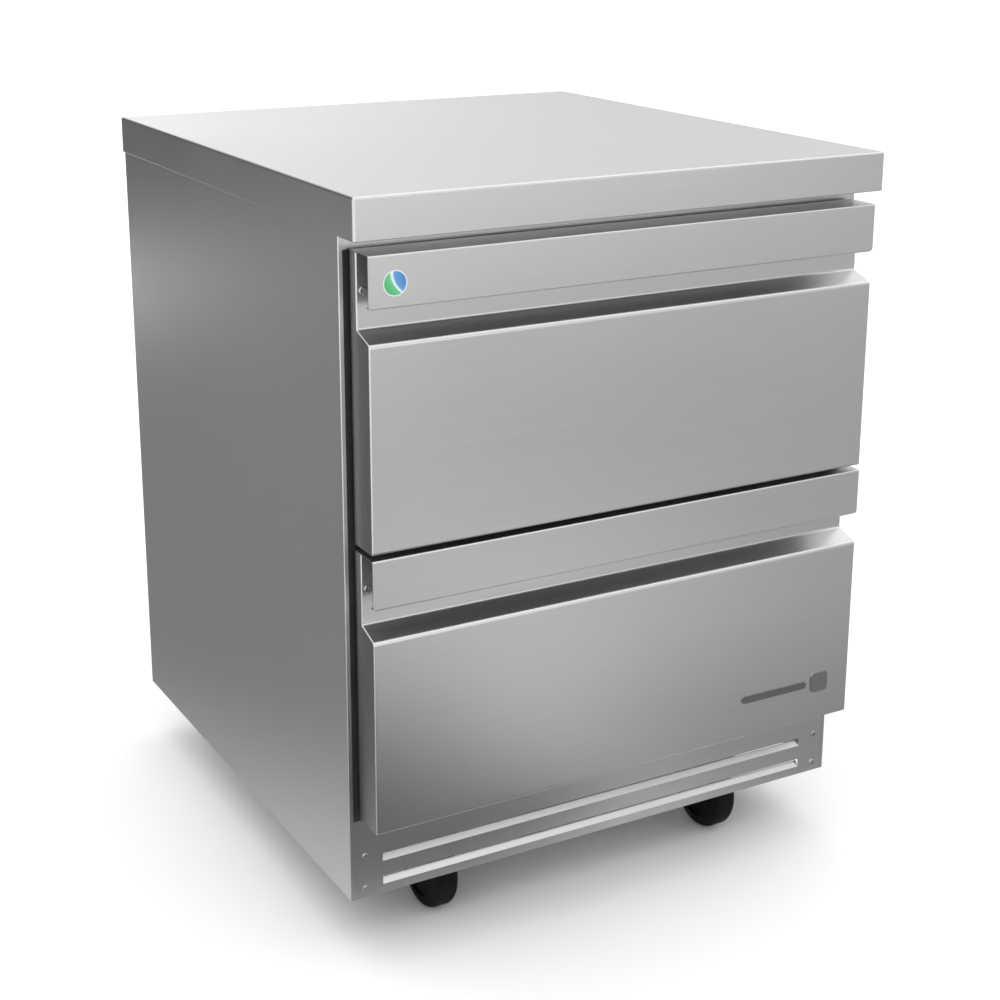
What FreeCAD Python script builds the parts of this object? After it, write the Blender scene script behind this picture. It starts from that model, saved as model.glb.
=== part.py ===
import math
import os
import re

import FreeCAD
import Part
import Sketcher
from FreeCAD import Placement, Rotation, Vector

# Two-drawer undercounter refrigerator, in millimetres.
# Origin: middle of the footprint on the floor. +X to the right, -Y to the front, +Z up.

doc = FreeCAD.newDocument("undercounter_fridge")

# ---------------------------------------------------------------- driving dimensions
DIMENSIONS = {
    # whole cabinet
    "wide": 698.0,            # worktop, side to side
    "deep": 743.5,            # drawer face to worktop back
    "high": 906.0,            # floor to worktop
    "proud": 3.5,             # drawer face ahead of the worktop edge
    "sheet": 1.2,             # stainless sheet
    "plate": 2.0,             # chassis sheet
    "top_edge": 47.0,         # turned-down worktop edge
    "top_round": 3.0,
    "edge_round": 1.2,        # lower edge of the turned-down sides
    "hem": 20.0,              # return flange under the worktop
    "rail_high": 16.0,        # lip of the worktop over the top of the frame
    "body_inset": 3.5,        # worktop overhang at each side
    "setback": 47.0,          # body front behind the worktop edge
    "body_low": 78.0,         # floor to the lower edge of the body
    "flange": 5.0,            # front return of the side panels
    "play": 0.5,              # gap between pieces that only rest near each other
    # insulated cell
    "frame_thick": 10.0,      # breaker frame around the openings
    "open_inset": 28.0,       # drawer outline to opening, top and bottom
    "open_side": 30.0,        # drawer outline to opening, each side
    "liner": 1.0,
    "rear_wall": 46.75,       # cell back to cabinet back
    "bay_deep": 250.0,        # machine bay at the lower rear
    "bay_high": 300.0,        # floor to the top of the machine bay
    "bay_wall": 35.0,         # insulation over the machine bay
    "chase_half": 22.0,       # passage for the refrigerant lines
    "air_slot": 220.0,        # slots in the back sheet
    "air_slot_high": 8.0,
    "air_slot_pitch": 20.0,
    # skirt with the two air slots
    "skirt_high": 100.0,
    "slot_half": 304.0,
    "slot_high": 13.0,
    "slot_pitch": 30.0,
    "slot_low": 87.0,         # floor to the lower slot
    "lip": 6.5,               # depth of the lip that folds in from a slot
    "lip_rise": 8.0,
    "fold": 9.0,              # stiffening folds along the skirt
    "rim_play": 0.2,          # frame and skirt clear of the side panels' returns
    "skirt_screw_x": 326.5,
    "skirt_screw_r": 4.0,
    "skirt_screw_pitch": 41.0,
    # drawers
    "front_wide": 670.0,
    "front_high": 327.5,
    "front_thick": 44.0,
    "front_gap": 6.0,
    "top_reveal": 14.5,       # worktop underside to the upper drawer
    "strip_high": 57.5,       # handle strip
    "finger_high": 37.5,      # finger opening under the strip
    "recess": 30.0,           # depth of the finger opening
    "shelf_drop": 10.5,       # fall of the sloping shelf
    "strip_hem": 10.0,
    "strip_corner": 5.0,      # rounding of the strip's lower corners
    "bend": 2.0,
    "nose": 5.0,              # bend along the top of the main face
    "foot_bend": 3.5,         # bend along its lower edge
    "heel_bend": 3.0,         # bend where the shelf meets the finger opening's back wall
    "backing": 1.5,           # inner panel of the drawer front
    "gasket_edge": 4.0,
    "gasket_wide": 20.0,
    "screw_x": 327.0,
    "screw_drop": 42.0,
    "screw_r": 4.5,
    # drawer cages and slides
    "slide_thick": 13.0,
    "slide_high": 45.0,
    "member": 1.5,
    "slide_start": 16.0,      # slide front behind the body front
    "slide_up": 55.0,         # opening floor to slide centre
    "upper_slide": 480.0,
    "lower_slide": 375.0,
    "cage_up": 12.0,          # opening floor to cage
    "cage_high": 150.0,
    "cage_flange": 25.0,
    # chassis and casters
    "chassis_start": 12.0,    # chassis front behind the body front
    "keel_half": 110.0,       # half width of the low keel pan
    "deck": 128.0,            # floor to the caster mounting deck
    "wheel_r": 50.8,
    "wheel_wide": 32.0,
    "shoulder": 9.0,          # rounding of the tread's shoulders
    "trail": 35.0,
    "swivel_x": 206.5,
    "swivel_front": 214.0,    # front swivels ahead of the origin
    "swivel_rear": 260.0,     # rear swivels behind the origin
    "axle_r": 6.0,
    "kingpin_r": 8.0,
    "running": 0.05,          # running clearance of shafts
    "fork_top": 111.0,
    "fork_plate": 5.0,
    "fork_gap": 17.0,         # wheel centre to the inner face of a leg
    "leg": 3.0,
    "pad_x": 92.0,
    "pad_y": 66.0,
    "pad_thick": 3.0,
    "bolt_x": 73.0,
    "bolt_y": 45.0,
    "bolt_r": 4.0,
    "pedal": 29.0,
    "leg_rear": 22.0,         # fork leg behind the swivel axis
    "leg_front": 37.0,        # fork leg ahead of the axle
    "disc_r": 28.0,           # round top of the fork
    "race_r": 30.0,
    "rivet_r": 13.0,
    "groove_r": 36.0,         # shallow ring pressed into each wheel side
    "groove_deep": 1.5,
    "hub_r": 12.0,
    "hub_boss_r": 16.0,
    "hex_wide": 18.0,         # axle head and nut, across flats
    "bolt_head_r": 6.5,
    "bolt_head": 5.0,
    "bolt_nut": 6.0,
    # cold side
    "cover_half": 240.0,
    "cover_low": 560.0,
    "cover_top": 800.0,
    "cover_deep": 119.0,
    "cold_fan_r": 60.0,
    "cold_fan_z": 700.0,
    "knob_x": 180.0,
    "knob_z": 620.0,
    "knob_r": 18.0,
    # hot side
    "coil_half": 106.0,
    "coil_low": 84.0,
    "coil_top": 170.0,
    "coil_deep": 45.0,
    "hot_fan_r": 40.0,
    "pot_r": 80.0,
    "pot_y": 245.0,
    "pot_low": 100.0,
    "pot_high": 165.0,
    "pot_wall": 14.0,
    "pot_foot_x": 95.0,       # half size of the foot plate
    "pot_foot_y": 65.0,
    "foot_x": 82.0,           # rubber feet from the compressor's axis
    "foot_y": 52.0,
    "foot_r": 12.0,
    "pan_left": 150.0,        # condensate pan
    "pan_right": 325.0,
    "pan_deep": 98.0,
    "pan_high": 26.0,
    "motor_r": 22.0,
    "cold_motor_r": 28.0,
    "shaft_r": 3.0,
    "pipe_r": 4.0,
    "gland_x": 280.0,
    "gland_z": 160.0,
    "gland_r": 9.0,
    "cord_r": 4.0,            # cord hole through the gland
    # trim
    "badge_right": 301.5,
    "badge_wide": 134.0,
    "badge_high": 26.0,
    "badge_bar": 9.0,         # height of the plain bar beside the square
    "badge_apart": 8.0,
    "badge_thick": 1.5,
    "badge_drop": 276.0,
    "sticker_r": 14.0,
    "sticker_x": 304.0,
    "sticker_drop": 31.0,
    "sticker_thick": 0.2,
}

sheet = doc.addObject("Spreadsheet::Sheet", "dims")
for row, (alias, value) in enumerate(DIMENSIONS.items(), start=1):
    sheet.set(f"A{row}", alias)
    sheet.set(f"B{row}", str(value))
    sheet.setAlias(f"B{row}", alias)
doc.recompute()

ALIAS = re.compile(r"\b(" + "|".join(DIMENSIONS) + r")\b")


def cells(expression):
    """Names in an expression become references to the sheet's cells."""
    return ALIAS.sub(r"dims.\1", str(expression))


def value(expression):
    """Number that an expression over the sheet gives."""
    return float(sheet.evalExpression(cells(expression)))


# ---------------------------------------------------------------- places used by many pieces
X_BODY = "(wide/2 - body_inset)"
Y_FACE = "(-deep/2)"
Y_TOP = "(-deep/2 + proud)"
Y_BODY = "(-deep/2 + proud + setback)"
Y_CELL = "(-deep/2 + proud + setback + frame_thick)"
Y_BACK = "(deep/2)"
Y_REAR = "(deep/2 - rear_wall)"
Y_BAY = "(deep/2 - bay_deep)"
Z_UNDER = "(high - top_edge)"
Z_SKIRT = "(body_low + skirt_high)"
X_RIM = "(wide/2 - body_inset - flange - rim_play)"
X_OPEN = "(front_wide/2 - open_side)"
UPPER_TOP = "(high - top_edge - top_reveal)"
LOWER_TOP = "(high - top_edge - top_reveal - front_high - front_gap)"
STEP_Z = "(bay_high + bay_wall)"
STEP_Y = "(deep/2 - bay_deep - bay_wall)"
DRAWERS = {"upper": UPPER_TOP, "lower": LOWER_TOP}


def opening_floor(top):
    return f"({top} - front_high + open_inset)"


def opening_roof(top):
    return f"({top} - open_inset)"


# ---------------------------------------------------------------- building blocks
def box(name, x, y, z):
    """Block between two limits along each axis."""
    piece = doc.addObject("Part::Box", name)
    for size, base, (low, high) in (("Length", "x", x), ("Width", "y", y), ("Height", "z", z)):
        piece.setExpression(size, cells(f"({high}) - ({low})"))
        piece.setExpression(f"Placement.Base.{base}", cells(low))
    return piece


AXIS_TURNS = {
    "x": Rotation(Vector(0, 1, 0), 90),
    "y": Rotation(Vector(1, 0, 0), -90),
    "z": Rotation(),
}


def rod(name, axis, start, radius, length):
    """Round bar that starts at a point and runs towards + along an axis."""
    piece = doc.addObject("Part::Cylinder", name)
    piece.Placement = Placement(Vector(), AXIS_TURNS[axis])
    for letter, place in zip("xyz", start):
        piece.setExpression(f"Placement.Base.{letter}", cells(place))
    piece.setExpression("Radius", cells(radius))
    piece.setExpression("Height", cells(length))
    return piece


def fuse(name, pieces):
    """One solid from touching pieces, or a group of solids from pieces that are apart."""
    joined = doc.addObject("Part::MultiFuse", name)
    joined.Shapes = list(pieces)
    joined.Refine = True
    return joined


def cut(name, base, tools):
    """Base less every tool."""
    if len(tools) == 1:
        tool = tools[0]
    else:
        tool = fuse(name + "_tools", tools)
    result = doc.addObject("Part::Cut", name)
    result.Base = base
    result.Tool = tool
    result.Refine = True
    return result


def mirrored(name, source):
    """Copy reflected in the plane between left and right."""
    copy = doc.addObject("Part::Mirroring", name)
    copy.Source = source
    copy.Normal = Vector(1, 0, 0)
    return copy


def rounded(name, source, radius, picks):
    """Fillet on the edges for which picks(edge box) is true."""
    doc.recompute()
    edges = []
    for number, edge in enumerate(source.Shape.Edges, start=1):
        if picks(edge.BoundBox):
            edges.append((number, value(radius), value(radius)))
    result = doc.addObject("Part::Fillet", name)
    result.Base = source
    result.Edges = edges
    return result


def origin_plane(body, role):
    for feature in body.Origin.OriginFeatures:
        if feature.Role == role:
            return feature


def profile(name, role, points, length, bends=()):
    """Closed outline padded to both sides of its plane; bends lists (corner, radius)."""
    body = doc.addObject("PartDesign::Body", name)
    sketch = body.newObject("Sketcher::SketchObject", name + "_outline")
    sketch.AttachmentSupport = [(origin_plane(body, role), "")]
    sketch.MapMode = "FlatFace"
    spots = [Vector(value(a), value(b), 0) for a, b in points]
    count = len(spots)
    for index in range(count):
        sketch.addGeometry(Part.LineSegment(spots[index], spots[(index + 1) % count]), False)
    for index in range(count):
        following = (index + 1) % count
        sketch.addConstraint(Sketcher.Constraint("Coincident", index, 2, following, 1))
    for index, pair in enumerate(points):
        for kind, place, spot in zip(("DistanceX", "DistanceY"), pair, spots[index][:2]):
            rule = sketch.addConstraint(Sketcher.Constraint(kind, -1, 1, index, 1, spot))
            sketch.setExpression(f"Constraints[{rule}]", cells(place))
    pad = body.newObject("PartDesign::Pad", name + "_pad")
    pad.Profile = sketch
    pad.SideType = "Symmetric"
    pad.setExpression("Length", cells(length))
    doc.recompute()
    tip = pad
    for step, (corner, radius) in enumerate(bends):
        tip = bend_corner(body, tip, f"{name}_bend_{step}", role, spots[corner], radius)
    body.Tip = tip
    return body


PLANE_AXES = {"YZ_Plane": ("x", "y", "z"), "XZ_Plane": ("y", "x", "z"), "XY_Plane": ("z", "x", "y")}


def bend_corner(body, base, name, role, spot, radius):
    """Fillet along the padded edge that stands on one corner of the outline."""
    names = []
    across, first, second = PLANE_AXES[role]
    for number, edge in enumerate(base.Shape.Edges, start=1):
        middle = edge.BoundBox.Center
        near = abs(getattr(middle, first) - spot.x) + abs(getattr(middle, second) - spot.y)
        if near < 0.01 and edge.Length > 0.5 * value("wheel_wide"):
            names.append(f"Edge{number}")
    fillet = body.newObject("PartDesign::Fillet", name)
    fillet.Base = (base, names)
    fillet.setExpression("Radius", cells(radius))
    doc.recompute()
    return fillet


def shape_node(name, shape):
    """Piece whose shape comes from Part's own functions, where no feature fits."""
    piece = doc.addObject("Part::Feature", name)
    piece.Shape = shape
    return piece


NODES = {}


def node(name, piece):
    """Register a finished sub-part; its label names its file."""
    piece.Label = name
    NODES[name] = piece
    return piece


# ---------------------------------------------------------------- worktop
def worktop():
    """Stainless pan, open underneath, whose front return ends in a lip over the top of the frame."""
    block = box("worktop_block", ("-wide/2", "wide/2"), (Y_TOP, Y_BACK), (Z_UNDER, "high"))
    top = value("high")
    upright = rounded("worktop_round_top", block, "top_round",
                      lambda b: b.ZMax > top - 0.01 or b.ZLength > 1)
    under = value(Z_UNDER)
    soft = rounded("worktop_soft", upright, "edge_round", lambda b: b.ZMax < under + 0.01)
    inside = box("worktop_inside", ("-wide/2 + sheet", "wide/2 - sheet"),
                 (f"{Y_TOP} + sheet", f"{Y_BACK} - sheet"), (f"{Z_UNDER} + sheet", "high - sheet"))
    mouth = box("worktop_mouth", ("-wide/2 + hem", "wide/2 - hem"),
                (f"{Y_BODY} + hem", f"{Y_BACK} - hem"), (f"{Z_UNDER} - 1", f"{Z_UNDER} + sheet"))
    rail = box("worktop_rail", (f"-{X_RIM}", X_RIM), (Y_BODY, f"{Y_BODY} + sheet"),
               (f"{Z_UNDER} - rail_high", Z_UNDER))
    return cut("worktop_pan", fuse("worktop_railed", [soft, rail]), [inside, mouth])


# ---------------------------------------------------------------- outer shell
def side_panel():
    """Right-hand side sheet with a narrow return at the front."""
    outer = X_BODY
    points = [
        (f"{outer} - flange", Y_BODY),
        (outer, Y_BODY),
        (outer, Y_BACK),
        (f"{outer} - sheet", Y_BACK),
        (f"{outer} - sheet", f"{Y_BODY} + sheet"),
        (f"{outer} - flange", f"{Y_BODY} + sheet"),
    ]
    panel = profile("side_sheet", "XY_Plane", points, f"{Z_UNDER} - body_low", [(1, "sheet")])
    panel.setExpression("Placement.Base.z", cells(f"({Z_UNDER} + body_low)/2"))
    return panel


def back_panel():
    """Rear sheet with rows of air slots over the machine bay."""
    inner = f"{X_BODY} - sheet"
    panel = box("back_sheet", (f"-({inner})", inner), (f"{Y_BACK} - sheet", Y_BACK), ("body_low", Z_UNDER))
    slots = []
    for side in (-1, 1):
        for row in range(7):
            low = f"deck + 14 + {row}*air_slot_pitch"
            left = f"{side}*170 - air_slot/2"
            slots.append(box("back_slot", (left, f"{left} + air_slot"),
                             (f"{Y_BACK} - 2*sheet", f"{Y_BACK} + 1"), (low, f"{low} + air_slot_high")))
    gland = rod("back_gland_hole", "y", ("-gland_x", f"{Y_BACK} - 2*sheet", "gland_z"),
                "gland_r", "4*sheet")
    return cut("back_slotted", panel, slots + [gland])


def chassis():
    """Folded base: a low keel pan between two raised decks that carry the casters."""
    rim = f"{X_BODY} - sheet"
    points = [
        (f"-({rim})", "deck"),
        ("-keel_half", "deck"),
        ("-keel_half", "body_low + plate"),
        ("keel_half", "body_low + plate"),
        ("keel_half", "deck"),
        (rim, "deck"),
        (rim, "deck + plate"),
        ("keel_half - plate", "deck + plate"),
        ("keel_half - plate", "body_low + 2*plate"),
        ("plate - keel_half", "body_low + 2*plate"),
        ("plate - keel_half", "deck + plate"),
        (f"-({rim})", "deck + plate"),
    ]
    front = f"({Y_BODY} + chassis_start)"
    rear = f"({Y_BACK} - sheet)"
    folded = profile("chassis_folds", "XZ_Plane", points, f"{rear} - {front}")
    folded.setExpression("Placement.Base.y", cells(f"({front} + {rear})/2"))
    holes = [rod("chassis_hole", "z", (x, y, "deck - 1"), "bolt_r + 0.2", "plate + 2")
             for x, y in bolt_places()]
    return cut("chassis_drilled", folded, holes)


def caster_places():
    """Swivel axes of the four casters, with their names."""
    return {
        "front_left": ("-swivel_x", "-swivel_front"),
        "front_right": ("swivel_x", "-swivel_front"),
        "rear_left": ("-swivel_x", "swivel_rear"),
        "rear_right": ("swivel_x", "swivel_rear"),
    }


def bolt_places():
    places = []
    for x, y in caster_places().values():
        for i in (-1, 1):
            for j in (-1, 1):
                places.append((f"{x} + {i}*bolt_x/2", f"{y} + {j}*bolt_y/2"))
    return places


# ---------------------------------------------------------------- insulated cell
def cell_space(name, grow):
    """The refrigerated space, stepped over the machine bay, grown by a wall thickness."""
    sides = (f"-({X_OPEN} + {grow})", f"{X_OPEN} + {grow}")
    roof = f"{opening_roof(UPPER_TOP)} + {grow}"
    upper = box(f"{name}_upper", sides, (Y_CELL, f"{Y_REAR} + {grow}"), (f"{STEP_Z} - {grow}", roof))
    lower = box(f"{name}_lower", sides, (Y_CELL, f"{STEP_Y} + {grow}"),
                (f"{opening_floor(LOWER_TOP)} - {grow}", roof))
    return fuse(name, [upper, lower])


def line_chase(name):
    """Passage for the refrigerant lines through the rear wall."""
    return box(name, ("-chase_half", "chase_half"), (f"{Y_REAR} - liner", f"{Y_REAR} + 28"),
               ("bay_high - 1", "cover_low + 60"))


def inner_liner():
    """Stainless tub of the cell, open at the front, with a hole for the lines."""
    hole = box("liner_hole", ("-chase_half", "chase_half"), (f"{Y_REAR} - liner", f"{Y_REAR} + 2*liner"),
               ("cover_low + 20", "cover_low + 60"))
    return cut("liner_tub", cell_space("liner_outside", "liner"), [cell_space("liner_inside", "0"), hole])


def insulation():
    """Foam of the body and of the worktop, poured as two separate blocks."""
    inner = f"{X_BODY} - sheet"
    block = box("foam_block", (f"-({inner})", inner), (Y_CELL, f"{Y_BACK} - sheet"),
                (Z_SKIRT, Z_UNDER))
    bay = box("foam_bay", (f"-({inner}) - 1", f"{inner} + 1"), (Y_BAY, Y_BACK),
              (f"{Z_SKIRT} - 1", "bay_high"))
    body = cut("foam_body", block, [cell_space("foam_cell", "liner"), bay, line_chase("foam_chase")])
    filling = box("foam_top_fill", ("-wide/2 + sheet", "wide/2 - sheet"),
                  (f"{Y_TOP} + sheet", f"{Y_BACK} - sheet"), (f"{Z_UNDER} + sheet", "high - sheet"))
    return fuse("foam_all", [body, filling])


def face_frame():
    """Black breaker frame that closes the front of the foam around both openings."""
    plate = box("frame_plate", (f"-{X_RIM}", X_RIM), (Y_BODY, Y_CELL),
                (f"{Z_SKIRT} + rim_play", Z_UNDER))
    rebate = box("frame_rebate", (f"-{X_RIM} - 1", f"{X_RIM} + 1"), (f"{Y_BODY} - 1", f"{Y_BODY} + sheet"),
                 (f"{Z_UNDER} - rail_high", f"{Z_UNDER} + 1"))
    windows = [rebate]
    for name, top in DRAWERS.items():
        windows.append(box(f"frame_window_{name}", (f"-{X_OPEN}", X_OPEN),
                           (f"{Y_BODY} - 1", f"{Y_CELL} + 1"), (opening_floor(top), opening_roof(top))))
    return cut("frame_opened", plate, windows)


# ---------------------------------------------------------------- skirt
SLOT_ROWS = 2
CROSS_LONG = 0.60             # screw recess, as shares of the head's radius
CROSS_THIN = 0.13


def skirt():
    """Lower front panel with two long slots; a steep lip folds in from each slot's lower edge."""
    across = (f"-{X_RIM}", X_RIM)
    folded = (Y_BODY, f"{Y_BODY} + fold")
    panel = box("skirt_sheet", across, (Y_BODY, f"{Y_BODY} + sheet"), ("body_low", Z_SKIRT))
    top_fold = box("skirt_fold", across, folded, (f"{Z_SKIRT} - sheet", Z_SKIRT))
    low_fold = box("skirt_hem", across, folded, ("body_low", "body_low + sheet"))
    slope = "sqrt(lip^2 + lip_rise^2)"
    slots = []
    lips = []
    for row in range(SLOT_ROWS):
        low = f"(slot_low + {row}*slot_pitch)"
        slots.append(box(f"skirt_slot_{row}", ("-slot_half", "slot_half"),
                         (f"{Y_BODY} - 1", f"{Y_BODY} + 2*sheet"), (low, f"{low} + slot_high")))
        points = [
            (Y_BODY, low),
            (f"{Y_BODY} + lip", f"{low} + lip_rise"),
            (f"{Y_BODY} + lip - sheet*lip_rise/{slope}", f"{low} + lip_rise + sheet*lip/{slope}"),
            (Y_BODY, f"{low} + sheet*{slope}/lip"),
        ]
        lips.append(profile(f"skirt_lip_{row}", "YZ_Plane", points, "2*slot_half"))
    holes = [rod("skirt_hole", "y", (x, f"{Y_BODY} - 1", z), "0.55*skirt_screw_r", "4*sheet")
             for x, z in skirt_screw_places()]
    opened = cut("skirt_opened", fuse("skirt_folded", [panel, top_fold, low_fold]), slots + holes)
    return fuse("skirt_lipped", [opened] + lips)


def skirt_screw_places():
    places = []
    for side in (-1, 1):
        for row in (0, 1):
            places.append((f"{side}*skirt_screw_x", f"slot_low + 3 + {row}*skirt_screw_pitch"))
    return places


def screw(name, start, radius, head, shank):
    """Cross-head screw lying along +y: the head stands in front of the start point."""
    x, y, z = start
    crown = rod(f"{name}_head", "y", (x, f"{y} - {head}", z), radius, head)
    doc.recompute()
    front = value(y) - value(head)
    soft = rounded(f"{name}_crown", crown, f"0.45*{head}", lambda b: abs(b.YMax - front) < 0.01)
    stem = rod(f"{name}_stem", "y", (x, y, z), f"0.5*{radius}", shank)
    cross = []
    for wide, high in ((CROSS_LONG, CROSS_THIN), (CROSS_THIN, CROSS_LONG)):
        cross.append(box(f"{name}_cross", (f"{x} - {wide}*{radius}", f"{x} + {wide}*{radius}"),
                         (f"{y} - {head} - 1", f"{y} - 0.4*{head}"),
                         (f"{z} - {high}*{radius}", f"{z} + {high}*{radius}")))
    return cut(name, fuse(f"{name}_blank", [soft, stem]), cross)


def skirt_screws():
    screws = []
    for number, (x, z) in enumerate(skirt_screw_places()):
        screws.append(screw(f"skirt_screw_{number}", (x, Y_BODY, z), "skirt_screw_r", "2", "8"))
    return fuse("skirt_screw_set", screws)


# ---------------------------------------------------------------- drawer fronts
SLOPE_DROP = "(sheet*shelf_drop/recess)"
SLOPE_SKIN = "(sheet*sqrt(recess^2 + shelf_drop^2)/recess)"
INNER_BENDS = [(4, "nose - sheet"), (3, "foot_bend - sheet"), (5, "heel_bend + sheet")]


def front_outline(top, inset, depth):
    """Section of the drawer front behind the handle strip, inset from the outer skin."""
    shelf = f"({top} - strip_high - finger_high)"
    if inset == "0":
        nose_z = shelf
        heel_z = f"({shelf} + shelf_drop)"
    else:
        nose_z = f"({shelf} + {SLOPE_DROP} - {SLOPE_SKIN})"
        heel_z = f"({nose_z} + shelf_drop)"
    return [
        (f"{Y_FACE} + recess + {inset}", f"{top} - {inset}"),
        (f"{Y_FACE} + {depth}", f"{top} - {inset}"),
        (f"{Y_FACE} + {depth}", f"{top} - front_high + {inset}"),
        (f"{Y_FACE} + {inset}", f"{top} - front_high + {inset}"),
        (f"{Y_FACE} + {inset}", nose_z),
        (f"{Y_FACE} + recess + {inset}", heel_z),
    ]


def drawer_front(name, top):
    """Folded stainless front: handle strip over a finger opening, then the main face."""
    block = profile(f"{name}_front_block", "YZ_Plane", front_outline(top, "0", "front_thick"),
                    "front_wide", [(4, "nose"), (3, "foot_bend"), (5, "heel_bend")])
    half = value("front_wide") / 2
    face = value(Y_FACE)
    soft = rounded(f"{name}_front_soft", block, "0.9*bend",
                   lambda b: b.XLength < 0.01 and abs(b.YMin - face) < 0.01 and b.ZLength > 50
                   and b.YLength < 0.01 and abs(abs(b.XMin) - half) < 0.01)
    hollow = profile(f"{name}_front_hollow", "YZ_Plane", front_outline(top, "sheet", "front_thick + 1"),
                     "front_wide - 2*sheet", INNER_BENDS)
    strip_points = [
        (f"{Y_FACE} + recess + sheet", top),
        (Y_FACE, top),
        (Y_FACE, f"{top} - strip_high"),
        (f"{Y_FACE} + strip_hem", f"{top} - strip_high"),
        (f"{Y_FACE} + strip_hem", f"{top} - strip_high + sheet"),
        (f"{Y_FACE} + sheet", f"{top} - strip_high + sheet"),
        (f"{Y_FACE} + sheet", f"{top} - sheet"),
        (f"{Y_FACE} + recess + sheet", f"{top} - sheet"),
    ]
    square = profile(f"{name}_strip_square", "YZ_Plane", strip_points, "front_wide",
                     [(1, "bend"), (2, "bend")])
    strip = cut(f"{name}_strip", square, strip_corners(name, top))
    shell = cut(f"{name}_front_shell", soft, [hollow])
    holes = [rod(f"{name}_front_hole", "y", (x, y, z), "0.5*screw_r", "3*sheet")
             for x, y, z in front_screw_places(top, "sheet")]
    return cut(f"{name}_front_done", fuse(f"{name}_front_whole", [shell, strip]), holes)


def strip_corners(name, top):
    """Tools that round the two lower corners of a handle strip."""
    low = f"({top} - strip_high)"
    side = "(front_wide/2)"
    corner = box(f"{name}_corner_block", (f"{side} - strip_corner", f"{side} + 1"),
                 (f"{Y_FACE} - 1", f"{Y_FACE} + strip_hem + 1"), (f"{low} - 1", f"{low} + strip_corner"))
    core = rod(f"{name}_corner_core", "y",
               (f"{side} - strip_corner", f"{Y_FACE} - 2", f"{low} + strip_corner"),
               "strip_corner", "strip_hem + 4")
    right = cut(f"{name}_corner_right", corner, [core])
    return [right, mirrored(f"{name}_corner_left", right)]


def front_screw_places(top, ahead):
    """The two screws near the ends of the finger opening's back wall."""
    level = f"{top} - screw_drop"
    return [(f"{side}*screw_x", f"{Y_FACE} + recess - {ahead}", level) for side in (-1, 1)]


def front_filling(name, top):
    outline = front_outline(top, "sheet", "front_thick - backing")
    hollow = profile(f"{name}_filling", "YZ_Plane", outline, "front_wide - 2*sheet", INNER_BENDS)
    holes = [rod(f"{name}_filling_hole", "y", (x, y, z), "0.5*screw_r", "front_thick")
             for x, y, z in front_screw_places(top, "0")]
    return cut(f"{name}_filling_done", hollow, holes)


def front_backing(name, top):
    edge = "front_wide/2 - sheet"
    return box(f"{name}_backing", (f"-({edge})", edge),
               (f"{Y_FACE} + front_thick - backing", f"{Y_FACE} + front_thick"),
               (f"{top} - front_high + sheet", f"{top} - sheet"))


def front_screws(name, top):
    screws = []
    for number, place in enumerate(front_screw_places(top, "0")):
        screws.append(screw(f"{name}_screw_{number}", place, "screw_r", "2", "10"))
    return fuse(f"{name}_screw_pair", screws)


def gasket(name, top):
    """Magnetic gasket ring with a softer bellows step against the breaker frame."""
    back = f"{Y_FACE} + front_thick"
    reach = f"{Y_BODY} - play"
    middle = f"(({back}) + ({reach}))/2"
    rings = []
    for part, inset, start, end in (("base", "gasket_edge", back, middle),
                                    ("lip", "gasket_edge + 3", middle, reach)):
        edge = f"front_wide/2 - ({inset})"
        inner = "front_wide/2 - gasket_edge - gasket_wide"
        outside = box(f"{name}_gasket_{part}", (f"-({edge})", edge), (start, end),
                      (f"{top} - front_high + {inset}", f"{top} - ({inset})"))
        inside = box(f"{name}_gasket_{part}_hole", (f"-({inner})", inner), (f"{start} - 1", f"{end} + 1"),
                     (f"{top} - front_high + gasket_edge + gasket_wide",
                      f"{top} - gasket_edge - gasket_wide"))
        rings.append(cut(f"{name}_gasket_{part}_ring", outside, [inside]))
    return fuse(f"{name}_gasket_rings", rings)


def badge(top):
    """Plain trim on the lower drawer: a slim bar and a rounded square, both blank."""
    middle = f"({top} - badge_drop)"
    depth = (f"{Y_FACE} - badge_thick", Y_FACE)
    square = box("badge_square", ("badge_right - badge_high", "badge_right"), depth,
                 (f"{middle} - badge_high/2", f"{middle} + badge_high/2"))
    bar = box("badge_bar_block", ("badge_right - badge_wide", "badge_right - badge_high - badge_apart"),
              depth, (f"{middle} - badge_bar/2", f"{middle} + badge_bar/2"))
    corners = [rounded("badge_square_soft", square, "badge_high/5", lambda b: b.YLength > 1),
               rounded("badge_bar_soft", bar, "0.45*badge_bar", lambda b: b.YLength > 1)]
    return fuse("badge_pair", corners)


def sticker(top):
    """Thin round label on the upper handle strip."""
    return rod("sticker_disc", "y", ("-sticker_x", f"{Y_FACE} - sticker_thick", f"{top} - sticker_drop"),
               "sticker_r", "sticker_thick")


# ---------------------------------------------------------------- cages and slides
def slide_end(length):
    return f"({Y_BODY} + slide_start + {length})"


def cage(name, top, length):
    """Welded sheet frame behind a drawer front; food pans hang by their rims in its top flange."""
    outer = f"({X_OPEN} - slide_thick)"
    floor = f"({opening_floor(top)} + cage_up)"
    front = f"({Y_FACE} + front_thick)"
    end = slide_end(length)
    roof = f"({floor} + cage_high)"
    block = box(f"{name}_cage_block", (f"-{outer}", outer), (front, end), (floor, roof))
    inside = box(f"{name}_cage_inside", (f"-{outer} + member", f"{outer} - member"),
                 (f"{front} + member", f"{end} - member"), (f"{floor} - 1", f"{roof} - member"))
    mouth = box(f"{name}_cage_mouth", (f"-{outer} + cage_flange", f"{outer} - cage_flange"),
                (f"{front} + cage_flange", f"{end} - cage_flange"), (f"{roof} - 2*member", f"{roof} + 1"))
    return cut(f"{name}_cage_frame", block, [inside, mouth])


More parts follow.
